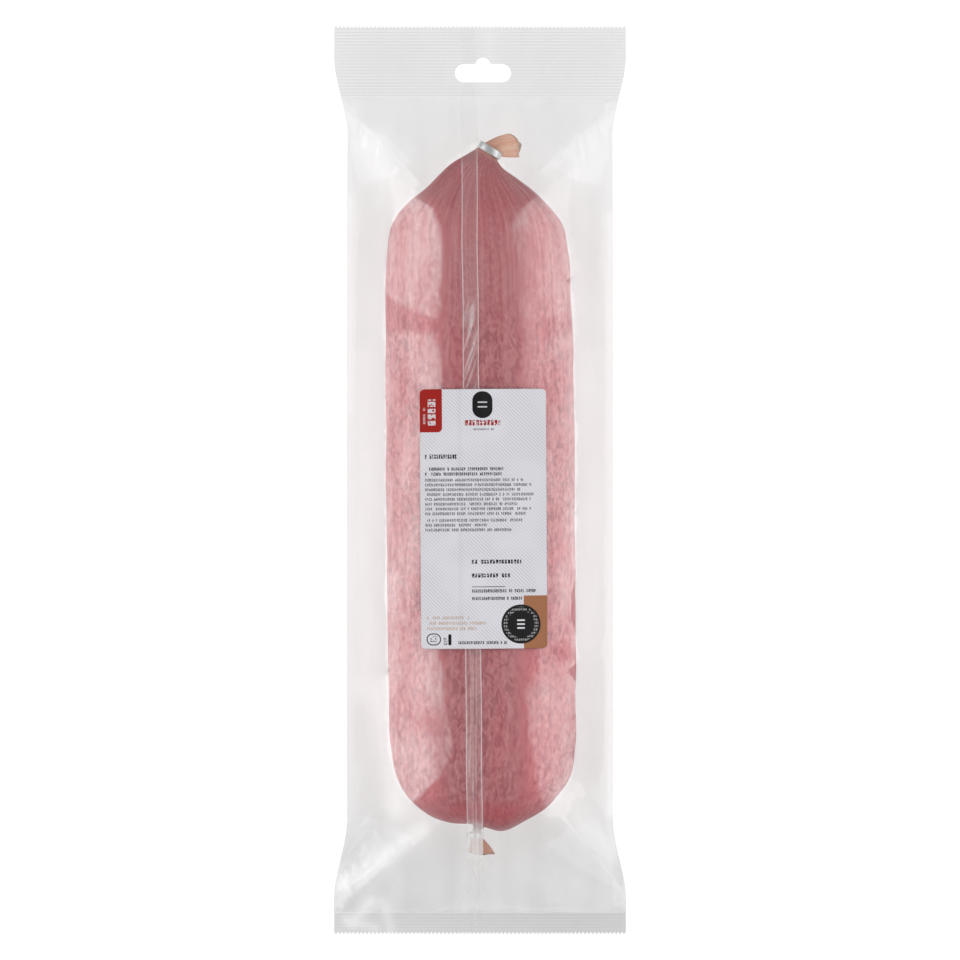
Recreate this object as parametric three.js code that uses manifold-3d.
// A cured sausage in its flow pack, lying on a table. Millimetres, +Z up, +Y from the
// plain end to the header with the hang hole, +X to the right seen from above. The
// origin is on the table, under the middle of the pack.
//
// Five pieces: the sausage in its casing, the clips that close the casing's ends, the
// web of clear film that is wrapped round them, and the label stuck over the fin seam.
import * as THREE from "three";
import { mergeVertices } from "three/addons/utils/BufferGeometryUtils.js";
import Module from "manifold-3d";

const wasm = await Module();
wasm.setup();

// General
const GAP = 0.3; // clearance between neighbouring pieces

// The film web and the pillow that it makes
const FILM = 0.4; // thickness of the web
const LAYER = FILM + GAP; // pitch of film layers that lie on each other
const FOLD_R = LAYER / 2; // bend radius at the middle of the web, where it turns back
const PACK_HALF_LENGTH = 259.5;
const FLAT_HALF_WIDTH = 83.4; // where the two panels are sealed flat
const PUFFED_HALF_WIDTH = 75.7; // along the sausage
const HEADER_SEAL_Y = 219; // the header is sealed from here to its cut edge
const FOOT_SEAL_Y = -247; // the foot is sealed from here to its cut edge
const SEAL_Z = 17; // height of both seals above the table
const SIDE_Z = 30; // height of the side edges along the sausage
const CROWN_Z = 65.9; // middle of the web above the sausage
const REST_SINK = 6; // how far the underside would dip, were the table not there
const REST_HALF_WIDTH = 38; // the patch that lies flat on the table, half its width
const REST_FROM_Y = -132; // and where it starts and ends along the pack
const REST_TO_Y = 100;
const REST_LIFT = 0.4; // everything else on the underside stays this far off the table
const FLATNESS = 0.004; // points this close to a flat face or straight edge are merged into it
const SWELL_FROM_Y = -165; // the pillow keeps its full height between these two
const SWELL_TO_Y = 135;
const SWELL_POWER = 1.7; // roundness of the pillow's ends, seen from the side

// The fin seam on top: both edges of the web, sealed face to face and folded left
const FIN_WIDTH = 9;
const FIN_ROOT_X = -0.1; // where the fin rises from the pouch, at mid length
const FIN_DRIFT = -2.2; // how far the root has moved in X at the header's edge
const FIN_RAMP = 8; // the panel on the fin's right climbs onto it over this width

// The hang hole, a bar with round ends and a round hook seat above its middle
const HOLE_WIDTH = 32;
const HOLE_HEIGHT = 10.4;
const HOLE_X = 1.7;
const HOLE_Y = 232.2;
const SEAT_R = 4.2;
const SEAT_RISE = 4.6; // from the bar's axis to the seat's centre

// The cut edges
const TOOTH_PITCH = 2.3;
const TOOTH_DEPTH = 1.1;

// The sausage: [along the pack, left edge, right edge], from the foot to the header
const OUTLINE = [
  [-199.3, 3, 17],
  [-197.3, -13, 24.5],
  [-194.4, -25, 29],
  [-189, -34.5, 36],
  [-180, -43.4, 44.5],
  [-170, -48, 51.5],
  [-156, -50.6, 54.3],
  [-126, -52.4, 54.9],
  [-60, -53.4, 54.8],
  [30, -54.2, 54.2],
  [100, -54.2, 52.6],
  [130, -53.3, 50.6],
  [148, -49.8, 45.8],
  [158, -41.8, 37.4],
  [168, -29.6, 26.4],
  [177, -18.2, 15.8],
  [183.5, -8.6, 11.6],
];
const SAUSAGE_HALF_HEIGHT = 32.5;
const SAUSAGE_HALF_WIDTH = 54.6;
const SAUSAGE_Z = 32.2; // height of its axis
const END_FULLNESS = 0.85; // below 1 the ends keep their height as they narrow
const NECK_Z = 29; // height of the gathered neck at the header end
const FOOT_NECK_Z = 27;

// The clips: centre, direction of the neck through it, and outside width and height
const CLIP_LENGTH = 3.4; // along the neck
const CLIP_WALL = 2;
const CLIP_BEVEL = 0.4;
const TOP_CLIP = { x: 5.6, y: 187.8, z: NECK_Z, angle: 59, width: 15, height: 11 };
const FOOT_CLIP = { x: -2.8, y: -202.4, z: FOOT_NECK_Z, angle: -90, width: 9.6, height: 13 };

// The casing's gathered tails, beyond the clips
const TAIL_TOP = { angle: 16, length: 19, width: 15.6, depth: 10 };
const TAIL_FOOT = { angle: -73, length: 11.6, width: 16.6, depth: 7 };

// The label
const LABEL_WIDTH = 73;
const LABEL_LENGTH = 148.5;
const LABEL_CORNER = 2.6;
const LABEL_X = 2.3;
const LABEL_Y = -22;
const LABEL_TILT = 0.35; // degrees, as it was stuck on
const LABEL_THICKNESS = 0.3;
const LABEL_SKIRT = 4; // width of its slope down from the fin's free edge

const clamp01 = (v) => Math.min(1, Math.max(0, v));
const smooth = (v) => clamp01(v) ** 2 * (3 - 2 * clamp01(v));
const radians = THREE.MathUtils.degToRad;

// Manifold solid of a closed three.js geometry.
function solidOf(geometry) {
  const bare = new THREE.BufferGeometry();
  const flat = geometry.index ? geometry.toNonIndexed() : geometry;
  bare.setAttribute("position", flat.getAttribute("position"));
  const merged = mergeVertices(bare, 1e-4);
  return new wasm.Manifold(
    new wasm.Mesh({
      numProp: 3,
      vertProperties: new Float32Array(merged.attributes.position.array),
      triVerts: new Uint32Array(merged.index.array),
    }),
  );
}

// three.js geometry of a manifold solid.
function geometryOf(solid) {
  const mesh = solid.getMesh();
  const geometry = new THREE.BufferGeometry();
  geometry.setAttribute(
    "position",
    new THREE.BufferAttribute(new Float32Array(mesh.vertProperties), mesh.numProp),
  );
  geometry.setIndex(new THREE.BufferAttribute(new Uint32Array(mesh.triVerts), 1));
  geometry.computeVertexNormals();
  return geometry;
}

// Moves every vertex of a geometry to the place that `place(x, y, z)` returns.
function bend(geometry, place) {
  const position = geometry.attributes.position;
  for (let i = 0; i < position.count; i += 1) {
    const p = place(position.getX(i), position.getY(i), position.getZ(i));
    position.setXYZ(i, p.x, p.y, p.z);
  }
  geometry.deleteAttribute("normal");
  geometry.deleteAttribute("uv");
  return geometry;
}

// How far the pillow is swollen at y: 1 along the sausage, 0 at the seals.
function swell(y) {
  const header = (y - SWELL_TO_Y) / (HEADER_SEAL_Y - SWELL_TO_Y);
  const foot = (SWELL_FROM_Y - y) / (SWELL_FROM_Y - FOOT_SEAL_Y);
  return 1 - clamp01(Math.max(header, foot)) ** SWELL_POWER;
}

// How far the pack has gone from the puffed middle to the flat seals at y.
function flatness(y) {
  const header = smooth((y - 110) / (HEADER_SEAL_Y - 110));
  const foot = smooth((-140 - y) / (-140 - FOOT_SEAL_Y));
  return Math.max(header, foot);
}

const sideZ = (y) => THREE.MathUtils.lerp(SIDE_Z, SEAL_Z, flatness(y));

function halfWidth(y) {
  const widening = Math.max(smooth((y - 196) / 46), smooth((-192 - y) / 48));
  return THREE.MathUtils.lerp(PUFFED_HALF_WIDTH, FLAT_HALF_WIDTH, widening);
}

// Height of the middle of the web in the top panel, without the fin.
function topZ(x, y) {
  const u = clamp01(Math.abs(x) / (halfWidth(y) - FOLD_R));
  const side = sideZ(y) + FOLD_R;
  return side + (CROWN_Z - side) * swell(y) * (1 - u ** 2) ** 0.9;
}

const onRestPatch = (x, y) =>
  Math.abs(x) <= REST_HALF_WIDTH && y >= REST_FROM_Y && y <= REST_TO_Y;

// Height of the middle of the web in the bottom panel, which lies flat on the table.
function bottomZ(x, y) {
  const u = clamp01(Math.abs(x) / (halfWidth(y) - FOLD_R));
  const side = sideZ(y) - FOLD_R;
  const dip = (side - FILM / 2 + REST_SINK) * swell(y) * (1 - u ** 2.4) ** 0.8;
  return Math.max(FILM / 2 + (onRestPatch(x, y) ? 0 : REST_LIFT), side - dip);
}

const finRoot = (y) => FIN_ROOT_X + (FIN_DRIFT * y) / PACK_HALF_LENGTH;

// The middle of the web across the pack at y, from the fin's upper free edge, round the
// pouch, to the fin's lower free edge. Every y has the same number of points.
function webLine(y) {
  const root = finRoot(y);
  const edge = root - FIN_WIDTH;
  const finMiddle = root - FIN_WIDTH / 2;
  const side = halfWidth(y) - FOLD_R;
  const points = [];
  const add = (x, z) => points.push(new THREE.Vector2(x, z));
  const fold = (x, z, from, to) => {
    for (let i = 0; i <= 3; i += 1) {
      const a = radians(THREE.MathUtils.lerp(from, to, i / 3));
      add(x + FOLD_R * Math.cos(a), z + FOLD_R * Math.sin(a));
    }
  };
  for (const x of [edge, finMiddle, root]) add(x, topZ(x, y) + 2 * LAYER);
  for (const share of [0.3, 0.5, 0.7, 1]) {
    const x = root + share * FIN_RAMP;
    add(x, topZ(x, y) + 2 * LAYER * (1 - smooth(share)));
  }
  const right = root + FIN_RAMP;
  for (let i = 1; i < 7; i += 1) {
    const x = THREE.MathUtils.lerp(right, side, Math.sin((Math.PI / 14) * i));
    add(x, topZ(x, y));
  }
  fold(side, sideZ(y), 90, -90);
  for (let i = 1; i < 12; i += 1) {
    const x = side * Math.cos((Math.PI / 12) * i);
    add(x, bottomZ(x, y));
  }
  fold(-side, sideZ(y), 270, 90);
  for (let i = 6; i > 0; i -= 1) {
    const x = THREE.MathUtils.lerp(edge, -side, Math.sin((Math.PI / 14) * i));
    add(x, topZ(x, y));
  }
  for (const x of [edge, finMiddle]) add(x, topZ(x, y));
  fold(root - FOLD_R, topZ(root, y) + FOLD_R, -90, 90);
  for (const x of [finMiddle, edge]) add(x, topZ(x, y) + LAYER);
  return points;
}

// The direction out of the web at point i of its line.
function outward(points, i) {
  const before = points[Math.max(0, i - 1)];
  const after = points[Math.min(points.length - 1, i + 1)];
  const a = points[i].clone().sub(before).normalize();
  const b = after.clone().sub(points[i]).normalize();
  const along = a.add(b).normalize();
  return new THREE.Vector2(-along.y, along.x);
}

// The flat web, rolled round the sausage: its length runs along Y, its width round Y.
function rolledWeb() {
  const stations = [
    -259.5, -247, -243, -237, -229, -218, -206, -193, -180, -168, -152, -132, -100, -35, 35,
    100, 122, 137, 150, 162, 174, 186, 196, 205, 212, 216, 219, 228, 242, 259.5,
  ];
  const lines = stations.map(webLine);
  const around = lines[0].length - 1;
  const along = stations.length - 1;
  const sheet = new THREE.BoxGeometry(1, 1, 1, around, along, 1);
  return bend(sheet, (u, v, w) => {
    const line = lines[Math.round((v + 0.5) * along)];
    const i = Math.round((u + 0.5) * around);
    const y = stations[Math.round((v + 0.5) * along)];
    const flat = line[i].y === FILM / 2 && onRestPatch(line[i].x, y);
    const out = flat ? new THREE.Vector2(0, -1) : outward(line, i);
    const p = line[i].clone().addScaledVector(out, w * FILM);
    return new THREE.Vector3(p.x, y, p.y);
  });
}

// The welded film between the two panels of a seal, from `from` to `to` along the pack.
function weld(from, to) {
  const plate = new THREE.BoxGeometry(2, 1, 1, 1, 6, 1);
  return bend(plate, (x, y, z) => {
    const along = THREE.MathUtils.lerp(from, to, y + 0.5);
    const half = halfWidth(along) - FOLD_R;
    return new THREE.Vector3(x * half, along, SEAL_Z + z * LAYER);
  });
}

// A prism through the header, in the shape of the hang hole.
function hangHole() {
  const r = HOLE_HEIGHT / 2;
  const straight = HOLE_WIDTH / 2 - r;
  const reach = Math.sqrt(SEAT_R ** 2 - (r - SEAT_RISE) ** 2);
  const start = Math.atan2(r - SEAT_RISE, reach);
  const shape = new THREE.Shape();
  shape.moveTo(-straight, -r);
  shape.absarc(straight, 0, r, -Math.PI / 2, Math.PI / 2, false);
  shape.absarc(0, SEAT_RISE, SEAT_R, start, Math.PI - start, false);
  shape.absarc(-straight, 0, r, Math.PI / 2, (3 * Math.PI) / 2, false);
  return new THREE.ExtrudeGeometry(shape, { depth: 30, bevelEnabled: false, curveSegments: 8 })
    .translate(HOLE_X, HOLE_Y, SEAL_Z - 15);
}

// What the zigzag knife takes off the header; turned round, off the foot.
function knifeWaste() {
  const teeth = Math.ceil(FLAT_HALF_WIDTH / TOOTH_PITCH) + 1;
  const shape = new THREE.Shape();
  shape.moveTo(-teeth * TOOTH_PITCH, TOOTH_DEPTH + 2);
  for (let i = -teeth; i < teeth; i += 1) {
    shape.lineTo(i * TOOTH_PITCH, -TOOTH_DEPTH);
    shape.lineTo((i + 0.5) * TOOTH_PITCH, 0);
  }
  shape.lineTo(teeth * TOOTH_PITCH, -TOOTH_DEPTH);
  shape.lineTo(teeth * TOOTH_PITCH, TOOTH_DEPTH + 2);
  return new THREE.ExtrudeGeometry(shape, { depth: 30, bevelEnabled: false })
    .translate(0, PACK_HALF_LENGTH, SEAL_Z - 15);
}

function filmPouch() {
  const welded = solidOf(rolledWeb())
    .add(solidOf(weld(HEADER_SEAL_Y, PACK_HALF_LENGTH)))
    .add(solidOf(weld(-PACK_HALF_LENGTH, FOOT_SEAL_Y)));
  const cut = welded
    .subtract(solidOf(hangHole()))
    .subtract(solidOf(knifeWaste()))
    .subtract(solidOf(knifeWaste().rotateZ(Math.PI)));
  return geometryOf(cut.simplify(FLATNESS));
}

// The filled sausage without its necks: a closed barrel whose rings follow OUTLINE.
function sausageBody() {
  const edges = OUTLINE.map(
    ([y, left, right]) => new THREE.Vector3(y, (left + right) / 2, (right - left) / 2),
  );
  const curve = new THREE.CatmullRomCurve3(edges, false, "centripetal");
  const barrel = new THREE.CylinderGeometry(1, 1, 1, 40, 32);
  return bend(barrel, (x, y, z) => {
    const { x: along, y: centre, z: half } = curve.getPoint(y + 0.5);
    const share = clamp01(half / SAUSAGE_HALF_WIDTH) ** END_FULLNESS;
    const neckZ = along > 0 ? NECK_Z : FOOT_NECK_Z;
    const axisZ = THREE.MathUtils.lerp(neckZ, SAUSAGE_Z, clamp01(share * 1.3));
    const height = axisZ + z * SAUSAGE_HALF_HEIGHT * share;
    const floor = FILM + GAP + REST_LIFT;
    return new THREE.Vector3(centre + x * half, along, Math.max(floor, height));
  });
}

// A round-cornered band in the XY plane, centred on the origin.
function clipShape(clip, grow) {
  const width = clip.width / 2 + grow;
  const height = clip.height / 2 + grow;
  const shape = new THREE.Shape();
  shape.absellipse(0, 0, width, height, 0, 2 * Math.PI, false);
  return shape;
}

// Turns a solid that runs along +Z so that it runs along a clip's neck.
function alongNeck(geometry, clip, angle = clip.angle) {
  return geometry
    .rotateX(-Math.PI / 2)
    .rotateZ(radians(angle - 90))
    .translate(clip.x, clip.y, clip.z);
}

function clipRing(clip) {
  const shape = clipShape(clip, -CLIP_BEVEL);
  shape.holes.push(clipShape(clip, CLIP_BEVEL - CLIP_WALL));
  const ring = new THREE.ExtrudeGeometry(shape, {
    depth: CLIP_LENGTH - 2 * CLIP_BEVEL,
    bevelThickness: CLIP_BEVEL,
    bevelSize: CLIP_BEVEL,
    bevelSegments: 1,
    curveSegments: 12,
  });
  return alongNeck(ring.translate(0, 0, CLIP_BEVEL - CLIP_LENGTH / 2), clip);
}

// The room that a clip needs, taken out of the casing.
function clipRoom(clip) {
  const shape = clipShape(clip, GAP);
  shape.holes.push(clipShape(clip, -CLIP_WALL - GAP));
  const depth = CLIP_LENGTH + 2 * GAP;
  const room = new THREE.ExtrudeGeometry(shape, {
    depth,
    bevelEnabled: false,
    curveSegments: 12,
  });
  return alongNeck(room.translate(0, 0, -depth / 2), clip);
}

// The casing through a clip, and its tail: round in the clip, flat and wide at its end.
function gatheredTail(clip, tail) {
  const tube = new THREE.CylinderGeometry(1, 1, 1, 20, 6);
  bend(tube, (x, y, z) => {
    const t = y + 0.5;
    const flare = smooth(t * 1.25);
    const width = THREE.MathUtils.lerp(clip.width / 2 - CLIP_WALL, tail.width / 2, flare);
    const depth = THREE.MathUtils.lerp(clip.height / 2 - CLIP_WALL, tail.depth / 2, flare);
    const ragged = 1 - 0.12 * t * (1 + Math.sin(5 * x + 2));
    return new THREE.Vector3(x * width, -z * depth, t * tail.length * ragged);
  });
  return alongNeck(tube, clip, tail.angle);
}

// The casing between the sausage's end and its clip.
function neck(clip, length) {
  const width = clip.width / 2 - CLIP_WALL;
  const height = clip.height / 2 - CLIP_WALL;
  const tube = new THREE.CylinderGeometry(1, 1, length, 20, 1);
  tube.rotateX(Math.PI / 2).translate(0, 0, -length / 2 + CLIP_LENGTH / 2);
  return alongNeck(tube.scale(width, height, 1), clip);
}

function sausage() {
  const cut = solidOf(sausageBody())
    .add(solidOf(neck(TOP_CLIP, 9)))
    .add(solidOf(neck(FOOT_CLIP, 8)))
    .add(solidOf(gatheredTail(TOP_CLIP, TAIL_TOP)))
    .add(solidOf(gatheredTail(FOOT_CLIP, TAIL_FOOT)))
    .subtract(solidOf(clipRoom(TOP_CLIP)))
    .subtract(solidOf(clipRoom(FOOT_CLIP)));
  return geometryOf(cut);
}

// Height of the label's underside, which bridges the fin.
function labelZ(x, y) {
  const root = finRoot(y);
  const right = 1 - smooth((x - root) / FIN_RAMP);
  const left = 1 - smooth((root - FIN_WIDTH - x) / LABEL_SKIRT);
  return topZ(x, y) + FILM / 2 + 2 * LAYER * Math.min(left, right) + GAP;
}

function label() {
  const margin = 2;
  const sheet = new THREE.BoxGeometry(
    LABEL_WIDTH + margin,
    LABEL_LENGTH + margin,
    1,
    24,
    6,
    1,
  );
  bend(sheet, (x, y, z) => {
    const base = labelZ(x + LABEL_X, y + LABEL_Y);
    return new THREE.Vector3(x + LABEL_X, y + LABEL_Y, base + (z + 0.5) * LABEL_THICKNESS);
  });
  const w = LABEL_WIDTH / 2;
  const l = LABEL_LENGTH / 2;
  const r = LABEL_CORNER;
  const outline = new THREE.Shape();
  outline.moveTo(r - w, -l);
  outline.absarc(w - r, r - l, r, -Math.PI / 2, 0, false);
  outline.absarc(w - r, l - r, r, 0, Math.PI / 2, false);
  outline.absarc(r - w, l - r, r, Math.PI / 2, Math.PI, false);
  outline.absarc(r - w, r - l, r, Math.PI, (3 * Math.PI) / 2, false);
  const die = new THREE.ExtrudeGeometry(outline, {
    depth: 2 * CROWN_Z,
    bevelEnabled: false,
    curveSegments: 4,
  });
  die.rotateZ(radians(LABEL_TILT)).translate(LABEL_X, LABEL_Y, 0);
  return geometryOf(solidOf(sheet).intersect(solidOf(die)));
}

const CASING = { color: 0xb06a6e, roughness: 0.45, metalness: 0 };
const ALUMINIUM = { color: 0xc8cccb, roughness: 0.35, metalness: 1 };
const CLEAR_FILM = {
  color: 0xe6e7e6,
  roughness: 0.12,
  metalness: 0,
  transparent: true,
  opacity: 0.25,
};
const PAPER = { color: 0xe1e2e8, roughness: 0.55, metalness: 0 };

const pack = new THREE.Group();

function addPiece(name, geometry, look) {
  const mesh = new THREE.Mesh(geometry, new THREE.MeshStandardMaterial(look));
  mesh.name = name;
  pack.add(mesh);
}

addPiece("sausage", sausage(), CASING);
addPiece("top_clip", clipRing(TOP_CLIP), ALUMINIUM);
addPiece("foot_clip", clipRing(FOOT_CLIP), ALUMINIUM);
addPiece("film_pouch", filmPouch(), CLEAR_FILM);
addPiece("label", label(), PAPER);

export default pack;
